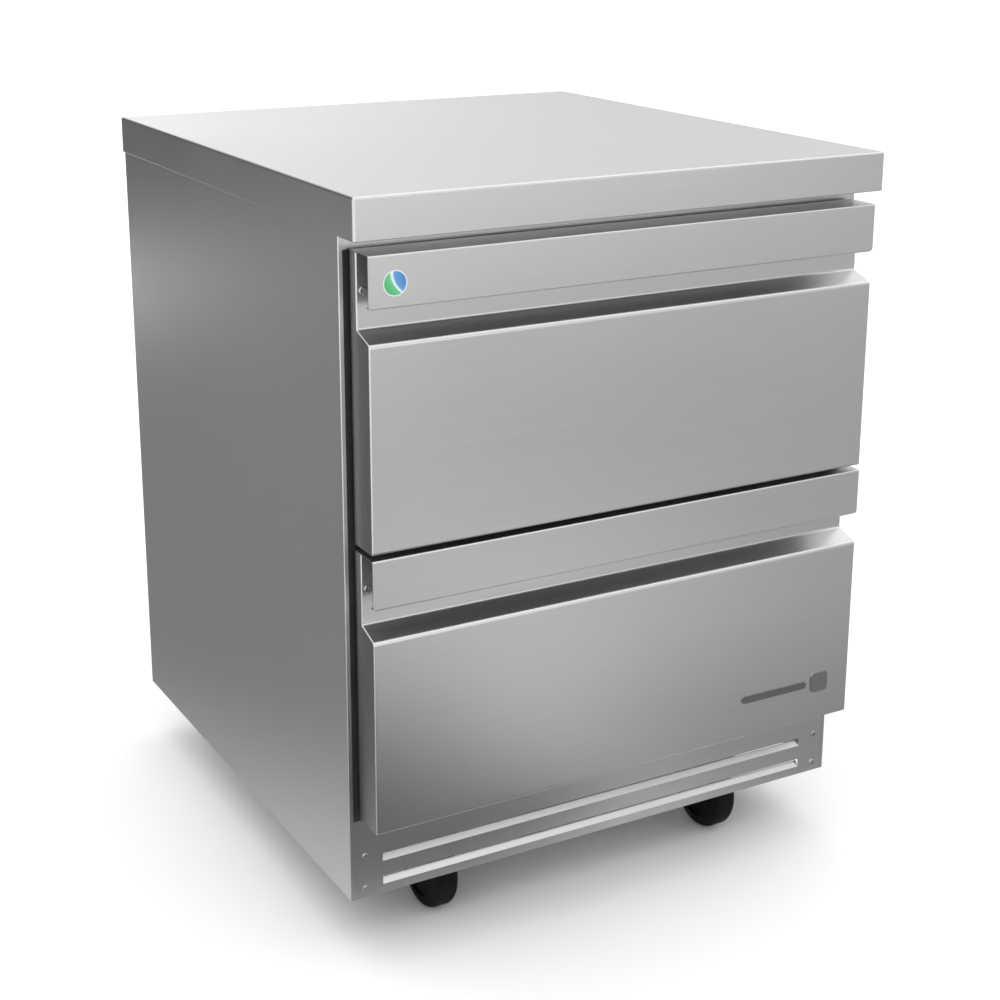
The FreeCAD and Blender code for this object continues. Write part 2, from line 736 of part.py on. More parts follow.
def channel(name, top, length, web, tips, height, thick):
    """Right-hand slide member: an upright web with two flanges, measured in from the liner."""
    centre = f"({opening_floor(top)} + slide_up)"
    run = (f"{Y_BODY} + slide_start", slide_end(length))
    wall = X_OPEN
    parts = [box(f"{name}_web", (f"{wall} - ({web}) - {thick}", f"{wall} - ({web})"), run,
                 (f"{centre} - ({height})/2", f"{centre} + ({height})/2"))]
    near, far = tips
    for flag in (-1, 1):
        edge = f"{centre} + {flag}*(({height})/2 - {thick}/2)"
        parts.append(box(f"{name}_flange", (f"{wall} - ({far})", f"{wall} - ({near})"), run,
                         (f"{edge} - {thick}/2", f"{edge} + {thick}/2")))
    return fuse(name, parts)


MEMBERS = {
    # web offset, flange span, height
    "cabinet": ("0", ("0", "slide_thick - 1"), "slide_high"),
    "middle": ("2.2", ("2.2", "slide_thick - 2"), "slide_high - 2*member - 1.4"),
    "drawer": ("slide_thick - member", ("5", "slide_thick"), "slide_high - 4*member - 3"),
}


def slide_pair(name, top, length, kind):
    web, tips, height = MEMBERS[kind]
    right = channel(f"{name}_{kind}_channel", top, length, web, tips, height, "member")
    left = mirrored(f"{name}_{kind}_left", right)
    return fuse(f"{name}_{kind}_pair", [right, left])


# ---------------------------------------------------------------- casters
def caster_plate(name, x, y):
    """Mounting plate with the upper race and the riveted kingpin."""
    race = "fork_top + play"
    plate = box(f"{name}_pad", (f"{x} - pad_x/2", f"{x} + pad_x/2"), (f"{y} - pad_y/2", f"{y} + pad_y/2"),
                ("deck - pad_thick", "deck"))
    upper = rod(f"{name}_race", "z", (x, y, race), "race_r", f"deck - pad_thick - ({race})")
    under = "fork_top - fork_plate - play - 4"
    pin = rod(f"{name}_kingpin", "z", (x, y, under), "kingpin_r", "20")
    rivet = rod(f"{name}_rivet", "z", (x, y, under), "rivet_r", "4")
    holes = []
    for i in (-1, 1):
        for j in (-1, 1):
            spot = (f"{x} + {i}*bolt_x/2", f"{y} + {j}*bolt_y/2", "deck - pad_thick - 1")
            holes.append(rod(f"{name}_pad_hole", "z", spot, "bolt_r + 0.2", "pad_thick + 2"))
    return cut(f"{name}_plate_whole", fuse(f"{name}_plate_set", [plate, upper, pin, rivet]), holes)


def fork(name, x, y):
    """Swivelling fork: a top plate on the kingpin and two legs that reach the axle and the lever pin."""
    legs = []
    outline = [
        (f"{y} + leg_rear", "fork_top"),
        (f"{y} + leg_rear", "fork_top - 14"),
        (f"{y} - trail + 16", "wheel_r - 8"),
        (f"{y} - trail + 8", "wheel_r - 14"),
        (f"{y} - trail - 8", "wheel_r - 14"),
        (f"{y} - trail - 16", "wheel_r - 8"),
        (f"{y} - trail - leg_front", "fork_top - 18"),
        (f"{y} - trail - leg_front", "fork_top - 4"),
        (f"{y} - trail - leg_front + 6", "fork_top"),
    ]
    for side in (-1, 1):
        leg = profile(f"{name}_leg", "YZ_Plane", outline, "leg")
        leg.setExpression("Placement.Base.x", cells(f"{x} + {side}*(fork_gap + leg/2)"))
        legs.append(leg)
    top = box(f"{name}_top", (f"{x} - fork_gap - leg", f"{x} + fork_gap + leg"),
              (f"{y} - leg_rear", f"{y} + leg_rear"), ("fork_top - fork_plate", "fork_top"))
    disc = rod(f"{name}_disc", "z", (x, y, "fork_top - fork_plate"), "disc_r", "fork_plate")
    bore = rod(f"{name}_bore", "z", (x, y, "fork_top - fork_plate - 1"), "kingpin_r + running",
               "fork_plate + 2")
    axle_hole = rod(f"{name}_axle_hole", "x", (f"{x} - 30", f"{y} - trail", "wheel_r"), "axle_r", "60")
    pin_hole = rod(f"{name}_pin_hole", "x", (f"{x} - 30", *lever_pin(y)), "shaft_r + running", "60")
    solid = fuse(f"{name}_fork_set", legs + [top, disc])
    return cut(f"{name}_fork_whole", solid, [bore, axle_hole, pin_hole])


def lever_pin(y):
    """Pivot of the brake lever, ahead of and above the wheel."""
    return (f"{y} - trail - 30", "fork_top - 11")


def wheel(name, x, y):
    """Black tread wheel with rounded shoulders and a raised hub."""
    centre = (f"{y} - trail", "wheel_r")
    tyre = rod(f"{name}_tyre", "x", (f"{x} - wheel_wide/2", *centre), "wheel_r", "wheel_wide")
    soft = rounded(f"{name}_tyre_soft", tyre, "shoulder", lambda b: b.XLength < 0.01)
    grooves = []
    for side in (-1, 1):
        start = f"{x} + {side}*(wheel_wide/2 - groove_deep) - groove_deep"
        ring = rod(f"{name}_groove", "x", (start, *centre), "groove_r", "2*groove_deep")
        core = rod(f"{name}_groove_core", "x", (f"{start} - 1", *centre), "hub_boss_r",
                   "2*groove_deep + 2")
        grooves.append(cut(f"{name}_groove_ring", ring, [core]))
    bore = rod(f"{name}_bore", "x", (f"{x} - 20", *centre), "axle_r + running", "40")
    hub = rod(f"{name}_hub", "x", (f"{x} - fork_gap + 0.4", *centre), "hub_r", "2*fork_gap - 0.8")
    turned = fuse(f"{name}_turned", [cut(f"{name}_grooved", soft, grooves), hub])
    return cut(f"{name}_wheel_whole", turned, [bore])


def hexagon(name, x, y, z, across, length):
    """Hexagonal head or nut along +x."""
    head = doc.addObject("Part::Prism", name)
    head.Polygon = 6
    head.Placement = Placement(Vector(), AXIS_TURNS["x"])
    for letter, place in zip("xyz", (x, y, z)):
        head.setExpression(f"Placement.Base.{letter}", cells(place))
    head.setExpression("Circumradius", cells(f"({across})/sqrt(3)"))
    head.setExpression("Height", cells(length))
    return head


def axle(name, x, y):
    """Axle bolt through both legs, with its head and nut outside them."""
    reach = "fork_gap + leg"
    centre = (f"{y} - trail", "wheel_r")
    shank = rod(f"{name}_shank", "x", (f"{x} - ({reach}) - 2", *centre), "axle_r", f"2*({reach}) + 10")
    head = hexagon(f"{name}_head", f"{x} - ({reach}) - 6", *centre, "hex_wide", "6")
    nut = hexagon(f"{name}_nut", f"{x} + {reach}", *centre, "hex_wide", "7")
    return fuse(f"{name}_axle_whole", [shank, head, nut])


def brake_lever(name, x, y):
    """Foot lever on a cross pin, with a shoe that moves towards the tread."""
    pin_y, pin_z = lever_pin(y)
    wide = "fork_gap - play"
    across = (f"{x} - ({wide})", f"{x} + {wide}")
    pin = rod(f"{name}_pin", "x", (f"{x} - fork_gap - leg - 2", pin_y, pin_z), "shaft_r",
              "2*fork_gap + 2*leg + 4")
    barrel = rod(f"{name}_barrel", "x", (f"{x} - ({wide})", pin_y, pin_z), "2*shaft_r", f"2*({wide})")
    pedal = box(f"{name}_pedal", across, (f"{pin_y} - pedal", pin_y), (f"{pin_z} + 1", f"{pin_z} + 4"))
    tip = box(f"{name}_tip", across, (f"{pin_y} - pedal", f"{pin_y} - pedal + 5"),
              (f"{pin_z} - 2", f"{pin_z} + 4"))
    shoe = box(f"{name}_shoe", (f"{x} - 12", f"{x} + 12"), (f"{pin_y} - 7", f"{pin_y} - 3"),
               (f"{pin_z} - 7.5", f"{pin_z}"))
    return fuse(f"{name}_lever_whole", [pin, barrel, pedal, tip, shoe])


def caster_bolts():
    """Hexagon bolts up through the pads, each with a nut on the deck."""
    bolts = []
    for x, y in bolt_places():
        under = "deck - pad_thick"
        shank = rod("bolt_shank", "z", (x, y, under), "bolt_r", "pad_thick + plate + 9")
        head = rod("bolt_head", "z", (x, y, f"{under} - bolt_head"), "bolt_head_r", "bolt_head")
        nut = rod("bolt_nut", "z", (x, y, "deck + plate"), "bolt_head_r", "bolt_nut")
        bolts.append(fuse("bolt_whole", [shank, head, nut]))
    return fuse("bolt_set", bolts)


# ---------------------------------------------------------------- fans, coils and lines
BLADES = 5
BLADE_PITCH = 35


def fan(name, x, y, z, radius, thick):
    """Axial fan on a stub shaft along +y; the blades are pitched plates."""
    hub = rod(f"{name}_hub", "y", (x, y, z), f"0.3*{radius}", thick)
    shaft = rod(f"{name}_shaft", "y", (x, y, z), "shaft_r", f"{thick} + 12")
    blades = []
    for number in range(BLADES):
        blade = doc.addObject("Part::Box", f"{name}_blade")
        blade.setExpression("Length", cells(f"0.75*{radius}"))
        blade.setExpression("Width", cells("1.5"))
        blade.setExpression("Height", cells(f"0.5*{radius}"))
        pitched = Placement(Vector(0, 0, -0.25 * value(radius)), Rotation())
        tilt = Rotation(Vector(1, 0, 0), BLADE_PITCH)
        pitched = Placement(Vector(0.22 * value(radius), 0, 0), tilt) * pitched
        spun = Placement(Vector(), Rotation(Vector(0, 1, 0), 360 / BLADES * number)) * pitched
        middle = Vector(value(x), value(y) + value(thick) / 2, value(z))
        blade.Placement = Placement(middle, Rotation()) * spun
        blades.append(blade)
    return fuse(f"{name}_rotor", [hub, shaft] + blades)


def fan_motor(name, x, y, z, radius, length):
    """Motor can whose bore holds the fan's stub shaft."""
    can = rod(f"{name}_can", "y", (x, y, z), radius, length)
    bore = rod(f"{name}_bore", "y", (x, f"{y} - 1", z), "shaft_r + running", "13")
    return cut(f"{name}_bored", can, [bore])


def finned_coil(name, x, y, z, pitch, tube_rows):
    """Fin pack between end plates, with return bends standing out at both ends."""
    (left, right), (front, rear), (low, high) = x, y, z
    core = box(f"{name}_core", (f"{left} + 14", f"{right} - 14"), (f"{front} + 2", f"{rear} - 2"),
               (f"{low} + 2", f"{high} - 2"))
    ends = []
    for place in (f"{left} + 14", f"{right} - 16"):
        ends.append(box(f"{name}_end", (place, f"{place} + 2"), y, z))
    gaps = []
    count = int((value(right) - value(left) - 40) // pitch)
    for number in range(count):
        start = f"{left} + 20 + {number}*{pitch}"
        gaps.append(box(f"{name}_gap", (start, f"{start} + 0.55*{pitch}"),
                        (f"{front} + 1", f"{front} + 9"), (f"{low} + 1", f"{high} + 1")))
    finned = cut(f"{name}_finned", core, gaps)
    bends = []
    for row in range(tube_rows):
        level = f"({low}) + (({high}) - ({low}))*({row} + 0.5)/{tube_rows}"
        for start in (f"{left} + 4", f"{right} - 14"):
            bends.append(rod(f"{name}_tube", "x", (start, f"({front} + {rear})/2", level), "4.5", "10"))
    return fuse(f"{name}_coil", [finned] + ends + bends)


def compressor():
    """Hermetic pot on a foot plate, hollow down from its discharge port, with a terminal box."""
    pot = rod("pot_wall", "z", ("0", "pot_y", "pot_low"), "pot_r", "pot_high")
    soft = rounded("pot_domed", pot, "30", lambda b: b.ZLength < 0.01)
    hollow = rod("pot_hollow", "z", ("0", "pot_y", "pot_low + 12"), "pot_r - pot_wall", "pot_high - 32")
    port = rod("pot_port", "z", ("40", "pot_y", "pot_low + 20"), "pipe_r - 1", "pot_high")
    foot = box("pot_foot", ("-pot_foot_x", "pot_foot_x"), ("pot_y - pot_foot_y", "pot_y + pot_foot_y"),
               ("pot_low - 4", "pot_low + 12"))
    dish = box("pot_foot_dish", ("-pot_foot_x - 1", "pot_foot_x + 1"),
               ("pot_y - pot_foot_y + 3", "pot_y + pot_foot_y - 3"), ("pot_low", "pot_low + 13"))
    trimmed = cut("pot_foot_cut", foot, [dish])
    terminal = box("pot_terminal", ("pot_r - 12", "pot_r + 20"), ("pot_y - 24", "pot_y + 24"),
                   ("pot_low + 60", "pot_low + 105"))
    return cut("pot_whole", fuse("pot_outside", [soft, trimmed, terminal]), [hollow, port])


def compressor_mounts():
    """Rubber feet between the keel pan and the compressor's foot plate."""
    feet = []
    for i in (-1, 1):
        for j in (-1, 1):
            spot = (f"{i}*foot_x", f"pot_y + {j}*foot_y", "body_low + 2*plate")
            feet.append(rod("foot", "z", spot, "foot_r", "pot_low - 4 - body_low - 2*plate"))
    return fuse("feet", feet)


def pipe(points, radius, bend):
    """Round tube along straight runs joined by arcs of one bend radius."""
    corners = [Vector(*[value(place) for place in point]) for point in points]
    edges = []
    start = corners[0]
    for before, corner, after in zip(corners, corners[1:], corners[2:]):
        inward = (before - corner).normalize()
        onward = (after - corner).normalize()
        half = inward.getAngle(onward) / 2
        reach = bend / math.tan(half)
        first = corner + inward * reach
        last = corner + onward * reach
        bisector = (inward + onward).normalize()
        middle = corner + bisector * (bend / math.sin(half) - bend)
        edges.append(Part.LineSegment(start, first).toShape())
        edges.append(Part.Arc(first, middle, last).toShape())
        start = last
    edges.append(Part.LineSegment(start, corners[-1]).toShape())
    path = Part.Wire(edges)
    direction = (corners[1] - corners[0]).normalize()
    ring = Part.Wire([Part.Circle(corners[0], direction, radius).toShape()])
    return path.makePipeShell([ring], True, False)


def copper_lines():
    """Discharge line, liquid line with its drier bulb, and suction line."""
    radius = value("pipe_r")
    bend = 3 * radius
    wall = f"({Y_REAR} + 14)"
    above = "pot_low + pot_high + 20"
    entry = "(cover_low + 40)"
    coil_y = f"({Y_BODY} + 18 + coil_deep/2)"
    level = "(coil_low + (coil_top - coil_low)*5/6)"
    discharge = [("40", "pot_y", "pot_low + pot_high"), ("40", "pot_y", above), ("135", "pot_y", above),
                 ("135", "pot_y", level), ("135", coil_y, level), ("coil_half - 4", coil_y, level)]
    liquid = [("4 - coil_half", coil_y, level), ("-135", coil_y, level),
              ("-135", "pot_y + 60", level), ("-135", "pot_y + 60", "bay_high - 24"),
              ("-135", wall, "bay_high - 24"), ("-11", wall, "bay_high - 24"), ("-11", wall, entry),
              ("-11", f"{Y_REAR} - 7", entry)]
    suction = [("11", f"{Y_REAR} - 7", entry), ("11", wall, entry),
               ("11", wall, "pot_low + pot_high + 15"),
               ("11", "pot_y", "pot_low + pot_high + 15"), ("11", "pot_y", "pot_low + pot_high")]
    tubes = [pipe(points, radius, bend) for points in (discharge, liquid, suction)]
    bulb = Part.makeCylinder(11, 90, Vector(-135, value("pot_y - 60"), value(level)), Vector(0, 1, 0))
    tubes[1] = tubes[1].fuse(bulb)
    return shape_node("copper_set", Part.makeCompound(tubes))


def condensate_pan():
    """Shallow tray on the right-hand deck, just inside the bay, that catches the defrost water."""
    front = f"({Y_BAY} + 6.25)"
    floor = "deck + plate"
    outer = box("pan_block", ("pan_left", "pan_right"), (front, f"{front} + pan_deep"),
                (floor, f"{floor} + pan_high"))
    inner = box("pan_inside", ("pan_left + 2", "pan_right - 2"),
                (f"{front} + 2", f"{front} + pan_deep - 2"), (f"{floor} + 2", f"{floor} + pan_high + 1"))
    return cut("pan_tray", outer, [inner])


def junction_box():
    """Wiring box on the left-hand deck with the mains gland through the back sheet."""
    case = box("wiring_case", ("-330", "-230"), (f"{Y_BACK} - 70", f"{Y_BACK} - sheet"),
               ("deck + plate", "deck + plate + 60"))
    gland = rod("wiring_gland", "y", ("-gland_x", f"{Y_BACK} - sheet - 1", "gland_z"), "gland_r",
                "sheet + 1")
    cord_hole = rod("wiring_cord_hole", "y", ("-gland_x", f"{Y_BACK} - 20", "gland_z"), "cord_r", "21")
    return cut("wiring_drilled", fuse("wiring_box", [case, gland]), [cord_hole])


# ---------------------------------------------------------------- cold side in the cell
COVER_FRONT = "(deep/2 - rear_wall - cover_deep)"


def evaporator_cover():
    """Sheet housing on the back wall with a fan outlet and return-air slots."""
    outer = box("cover_block", ("-cover_half", "cover_half"), (COVER_FRONT, Y_REAR),
                ("cover_low", "cover_top"))
    inner = box("cover_inside", ("-cover_half + member", "cover_half - member"),
                (f"{COVER_FRONT} + member", f"{Y_REAR} + 1"),
                ("cover_low + member", "cover_top - member"))
    holes = [rod("cover_outlet", "y", ("0", f"{COVER_FRONT} - 1", "cold_fan_z"), "cold_fan_r + 5", "5")]
    holes.append(rod("cover_shaft_hole", "y", ("knob_x", f"{COVER_FRONT} - 1", "knob_z"), "5", "5"))
    for side in (-1, 1):
        for row in range(6):
            middle = f"{side}*150"
            low = f"cold_fan_z - 10 + {row}*14"
            holes.append(box("cover_slot", (f"{middle} - 55", f"{middle} + 55"),
                             (f"{COVER_FRONT} - 1", f"{COVER_FRONT} + 4"), (low, f"{low} + 6")))
    return cut("cover_sheet", outer, [inner] + holes)


def thermostat():
    """Control body behind the cover, bored for the knob's shaft."""
    case = box("stat_case", ("knob_x - 20", "knob_x + 20"),
               (f"{COVER_FRONT} + member", f"{COVER_FRONT} + 28"), ("knob_z - 22", "knob_z + 22"))
    bore = rod("stat_bore", "y", ("knob_x", f"{COVER_FRONT} + 1", "knob_z"), "shaft_r + running", "16")
    return cut("stat_bored", case, [bore])


def thermostat_knob():
    """Round setting knob with a raised grip bar, on the thermostat's shaft."""
    face = rod("knob_face", "y", ("knob_x", f"{COVER_FRONT} - 14", "knob_z"), "knob_r", "13.5")
    soft = rounded("knob_soft", face, "2", lambda b: b.YLength < 0.01)
    grip = box("knob_grip", ("knob_x - 3", "knob_x + 3"), (f"{COVER_FRONT} - 20", f"{COVER_FRONT} - 10"),
               ("knob_z - knob_r + 3", "knob_z + knob_r - 3"))
    shaft = rod("knob_shaft", "y", ("knob_x", f"{COVER_FRONT} - 2", "knob_z"), "shaft_r", "14")
    return fuse("knob_whole", [soft, grip, shaft])


# ---------------------------------------------------------------- assembly
node("worktop", worktop())
right_panel = node("side_panel_right", side_panel())
node("side_panel_left", mirrored("left_sheet", right_panel))
node("back_panel", back_panel())
node("base_chassis", chassis())
node("inner_liner", inner_liner())
node("insulation_foam", insulation())
node("face_frame", face_frame())
node("louvre_panel", skirt())
node("louvre_screws", skirt_screws())

for drawer, top in DRAWERS.items():
    length = f"{drawer}_slide"
    node(f"{drawer}_drawer_front", drawer_front(drawer, top))
    node(f"{drawer}_drawer_foam", front_filling(drawer, top))
    node(f"{drawer}_drawer_back", front_backing(drawer, top))
    node(f"{drawer}_drawer_screws", front_screws(drawer, top))
    node(f"{drawer}_drawer_gasket", gasket(drawer, top))
    node(f"{drawer}_drawer_cage", cage(drawer, top, length))
    for kind in MEMBERS:
        node(f"{drawer}_slide_{kind}_members", slide_pair(drawer, top, length, kind))
node("badge", badge(LOWER_TOP))
node("round_sticker", sticker(UPPER_TOP))

for place, (x, y) in caster_places().items():
    node(f"caster_fork_{place}", fork(f"{place}_caster", x, y))
    node(f"caster_wheel_{place}", wheel(f"{place}_roller", x, y))
    node(f"caster_axle_{place}", axle(f"{place}_spindle", x, y))
    if place.startswith("front"):
        node(f"brake_lever_{place}", brake_lever(f"{place}_brake", x, y))
plates = [caster_plate(f"{place}_mount", x, y) for place, (x, y) in caster_places().items()]
node("caster_plates", fuse("plate_set", plates))
node("caster_bolts", caster_bolts())

coil_front = f"{Y_BODY} + 18"
node("condenser_coil", finned_coil("hot", ("-coil_half", "coil_half"),
                                   (coil_front, f"{coil_front} + coil_deep"),
                                   ("coil_low", "coil_top"), 8, 3))
hot_y = f"({coil_front} + coil_deep + 12)"
hot_z = "coil_low + hot_fan_r + 3"
node("condenser_fan", fan("hot_fan", "0", hot_y, hot_z, "hot_fan_r", "14"))
node("condenser_fan_motor", fan_motor("hot_motor", "0", f"{hot_y} + 14 + play", hot_z, "motor_r", "40"))
node("compressor", compressor())
node("compressor_mounts", compressor_mounts())
node("copper_lines", copper_lines())
node("condensate_pan", condensate_pan())
node("junction_box", junction_box())

node("evaporator_cover", evaporator_cover())
cold_y = f"({COVER_FRONT} + 8)"
node("evaporator_fan", fan("cold_fan", "0", cold_y, "cold_fan_z", "cold_fan_r", "22"))
node("evaporator_fan_motor", fan_motor("cold_motor", "0", f"{cold_y} + 22 + play", "cold_fan_z",
                                       "cold_motor_r", "26"))
node("evaporator_coil", finned_coil("cold", ("25 - cover_half", "cover_half - 25"),
                                    (f"{Y_REAR} - 58", f"{Y_REAR} - 7"),
                                    ("cover_low + 24", "cover_top - 14"), 8, 5))
node("thermostat", thermostat())
node("thermostat_knob", thermostat_knob())

# ---------------------------------------------------------------- checks and export
doc.recompute()
for item in doc.Objects:
    if "Invalid" in item.State or "Error" in item.State:
        raise RuntimeError(f"{item.Name} failed: {item.State}")
os.makedirs("parts", exist_ok=True)
for name, piece in NODES.items():
    shape = piece.Shape
    if shape.isNull() or not shape.isValid() or not shape.Solids:
        raise RuntimeError(f"{name} has no valid solid")
    if piece.Label != name:
        raise RuntimeError(f"{name} is labelled {piece.Label}")
    shape.exportStep(f"parts/{name}.step")
print(f"{len(NODES)} sub-parts written")
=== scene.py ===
"""Looks for the two-drawer under counter fridge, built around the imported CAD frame.

Metres, origin bottom centre on the floor, -Y to the front, +Z up.
"""

import math

import bpy
from mathutils import Matrix, Vector


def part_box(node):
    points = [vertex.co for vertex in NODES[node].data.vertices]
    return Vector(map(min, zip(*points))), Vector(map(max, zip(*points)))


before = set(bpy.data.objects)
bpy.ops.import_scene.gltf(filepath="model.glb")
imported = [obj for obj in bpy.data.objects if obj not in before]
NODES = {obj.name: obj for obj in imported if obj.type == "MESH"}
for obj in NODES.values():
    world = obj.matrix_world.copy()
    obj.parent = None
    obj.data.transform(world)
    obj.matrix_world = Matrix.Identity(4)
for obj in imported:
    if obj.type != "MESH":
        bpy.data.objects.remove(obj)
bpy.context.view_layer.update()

# ---------------------------------------------------------------- camera
CAMERA_AT = Vector((-1.1190, -2.0376, 1.2137))
CAMERA_AZIMUTH = math.radians(-29.438)
CAMERA_ELEVATION = math.radians(15.842)
CAMERA_ROLL = math.radians(0.233)
CAMERA_LENS = 65.78
CAMERA_SENSOR = 36.0
CAMERA_RISE = -0.10


def make_camera():
    """Camera at the angle from which the object is shown."""
    level = math.cos(CAMERA_ELEVATION)
    back = Vector((math.sin(CAMERA_AZIMUTH) * level, -math.cos(CAMERA_AZIMUTH) * level,
                   math.sin(CAMERA_ELEVATION)))
    right = Vector((math.cos(CAMERA_AZIMUTH), math.sin(CAMERA_AZIMUTH), 0.0))
    up = back.cross(right)
    c, s = math.cos(CAMERA_ROLL), math.sin(CAMERA_ROLL)
    axes = (c * right + s * up, c * up - s * right, back)
    turn = Matrix(axes).transposed().to_4x4()
    data = bpy.data.cameras.new("camera")
    data.lens = CAMERA_LENS
    data.sensor_width = CAMERA_SENSOR
    data.shift_y = CAMERA_RISE
    data.clip_start = 0.01
    camera = bpy.data.objects.new("camera", data)
    camera.matrix_world = Matrix.Translation(CAMERA_AT) @ turn
    bpy.context.scene.collection.objects.link(camera)
    bpy.context.scene.camera = camera


# ---------------------------------------------------------------- shader helpers
class Finish:
    """A material being put together from nodes."""

    def __init__(self, name, metallic, roughness):
        self.material = bpy.data.materials.new(name)
        self.material.use_nodes = True
        self.tree = self.material.node_tree
        self.shader = self.tree.nodes["Principled BSDF"]
        self.shader.inputs["Metallic"].default_value = metallic
        self.shader.inputs["Roughness"].default_value = roughness
        self.place = self.add("ShaderNodeTexCoord").outputs["Object"]
        self.height = None

    def add(self, kind, **settings):
        made = self.tree.nodes.new(kind)
        for key, setting in settings.items():
            setattr(made, key, setting)
        return made

    def fill(self, made, **inputs):
        """Sets or links a node's inputs by name."""
        for key, given in inputs.items():
            socket = made.inputs[key.replace("_", " ")]
            if isinstance(given, bpy.types.NodeSocket):
                self.tree.links.new(given, socket)
            else:
                socket.default_value = given
        return made

    def stretched(self, scales):
        """Object coordinates multiplied axis by axis."""
        made = self.add("ShaderNodeVectorMath", operation="MULTIPLY")
        self.tree.links.new(self.place, made.inputs[0])
        made.inputs[1].default_value = scales
        return made.outputs[0]

    def noise(self, scales, detail=3.0, rough=0.55):
        made = self.add("ShaderNodeTexNoise")
        self.fill(made, Vector=self.stretched(scales), Scale=1.0, Detail=detail, Roughness=rough)
        return made.outputs["Fac"]

    def cells(self, scales, output="Distance", feature="F1"):
        made = self.add("ShaderNodeTexVoronoi", feature=feature)
        self.fill(made, Vector=self.stretched(scales), Scale=1.0)
        return made.outputs[output]

    def grey(self, source):
        made = self.add("ShaderNodeRGBToBW")
        self.tree.links.new(source, made.inputs[0])
        return made.outputs[0]

    def spread(self, source, low, high, from_low=0.3, from_high=0.7):
        """Source's middle range becomes low..high."""
        made = self.add("ShaderNodeMapRange")
        self.tree.links.new(source, made.inputs["Value"])
        made.inputs["From Min"].default_value = from_low
        made.inputs["From Max"].default_value = from_high
        made.inputs["To Min"].default_value = low
        made.inputs["To Max"].default_value = high
        return made.outputs["Result"]

    def sum(self, *parts):
        total = parts[0]
        for part in parts[1:]:
            made = self.add("ShaderNodeMath", operation="ADD")
            self.tree.links.new(total, made.inputs[0])
            self.tree.links.new(part, made.inputs[1])
            total = made.outputs[0]
        return total

    def shade(self, factor, *stops):
        """Colour ramp from (position, colour) stops."""
        made = self.add("ShaderNodeValToRGB")
        ramp = made.color_ramp
        while len(ramp.elements) < len(stops):
            ramp.elements.new(0.5)
        for element, (position, colour) in zip(ramp.elements, stops):
            element.position = position
            element.color = (*colour, 1.0)
        self.tree.links.new(factor, made.inputs["Fac"])
        return made.outputs["Color"]

    def facing(self, axis):
        """How squarely the surface faces along an axis, either way."""
        split = self.add("ShaderNodeSeparateXYZ")
        self.tree.links.new(self.add("ShaderNodeNewGeometry").outputs["Normal"], split.inputs[0])
        made = self.add("ShaderNodeMath", operation="ABSOLUTE")
        self.tree.links.new(split.outputs[axis], made.inputs[0])
        return made.outputs[0]

    def blended(self, factor, first, second):
        """First colour turning into the second; either may be a socket or plain numbers."""
        made = self.add("ShaderNodeMix", data_type="RGBA")
        self.tree.links.new(factor, made.inputs[0])
        sockets = [socket for socket in made.inputs if socket.type == "RGBA"]
        for socket, given in zip(sockets, (first, second)):
            if isinstance(given, bpy.types.NodeSocket):
                self.tree.links.new(given, socket)
            else:
                socket.default_value = (*given, 1.0)
        return next(socket for socket in made.outputs if socket.type == "RGBA")

    def darker(self, source, factor, level):
        """Source colour times level where factor is 1."""
        made = self.add("ShaderNodeVectorMath", operation="SCALE")
        self.tree.links.new(source, made.inputs[0])
        self.tree.links.new(self.spread(factor, 1.0, level, 0.0, 1.0), made.inputs["Scale"])
        return made.outputs[0]

    def colour(self, source):
        self.tree.links.new(source, self.shader.inputs["Base Color"])

    def rough(self, source):
        self.tree.links.new(source, self.shader.inputs["Roughness"])

    def bump(self, source, distance, strength=1.0):
        """Adds a layer of relief over the ones before it."""
        made = self.add("ShaderNodeBump")
        self.fill(made, Height=source, Distance=distance, Strength=strength)
        if self.height is not None:
            self.tree.links.new(self.height, made.inputs["Normal"])
        self.height = made.outputs["Normal"]
        self.tree.links.new(self.height, self.shader.inputs["Normal"])


def tint(colour, factor):
    return tuple(channel * factor for channel in colour)


ALONG = {"x": (3.0, 600.0, 600.0), "y": (600.0, 3.0, 600.0), "z": (600.0, 600.0, 3.0)}
HAIR = {"x": (14.0, 2400.0, 2400.0), "y": (2400.0, 14.0, 2400.0), "z": (2400.0, 2400.0, 14.0)}


def brushed(name, way, colour=(0.62, 0.62, 0.623), roughness=0.33, painted_return_shade=1.0):
    """Brushed sheet: long grain one way, faint waviness and wiped patches; a return-shade level below 1
    paints shade onto the returns, the faces that look sideways.
    """
    made = Finish(name, 1.0, roughness)
    grain = made.noise(ALONG[way], 4.0, 0.6)
    hair = made.noise(HAIR[way], 2.0, 0.5)
    wipe = made.noise((2.2, 2.2, 2.2), 3.0, 0.5)
    both = made.sum(made.spread(grain, 0.0, 0.5), made.spread(hair, 0.0, 0.5))
    face = made.shade(both, (0.0, tint(colour, 0.96)), (1.0, tint(colour, 1.04)))
    # Painted shade: faces that look along X, the returns, get a darker colour than the main face.
    if painted_return_shade < 1.0:
        face = made.darker(face, made.spread(made.facing("X"), 0.0, 1.0, 0.92, 1.0), painted_return_shade)
    made.colour(face)
    made.rough(made.sum(made.spread(grain, -0.02, 0.02),
                        made.spread(wipe, roughness - 0.03, roughness + 0.03)))
    made.bump(grain, 0.00003, 0.5)
    made.bump(made.noise((3.0, 3.0, 3.0), 1.0), 0.002, 0.10)
    return made.material


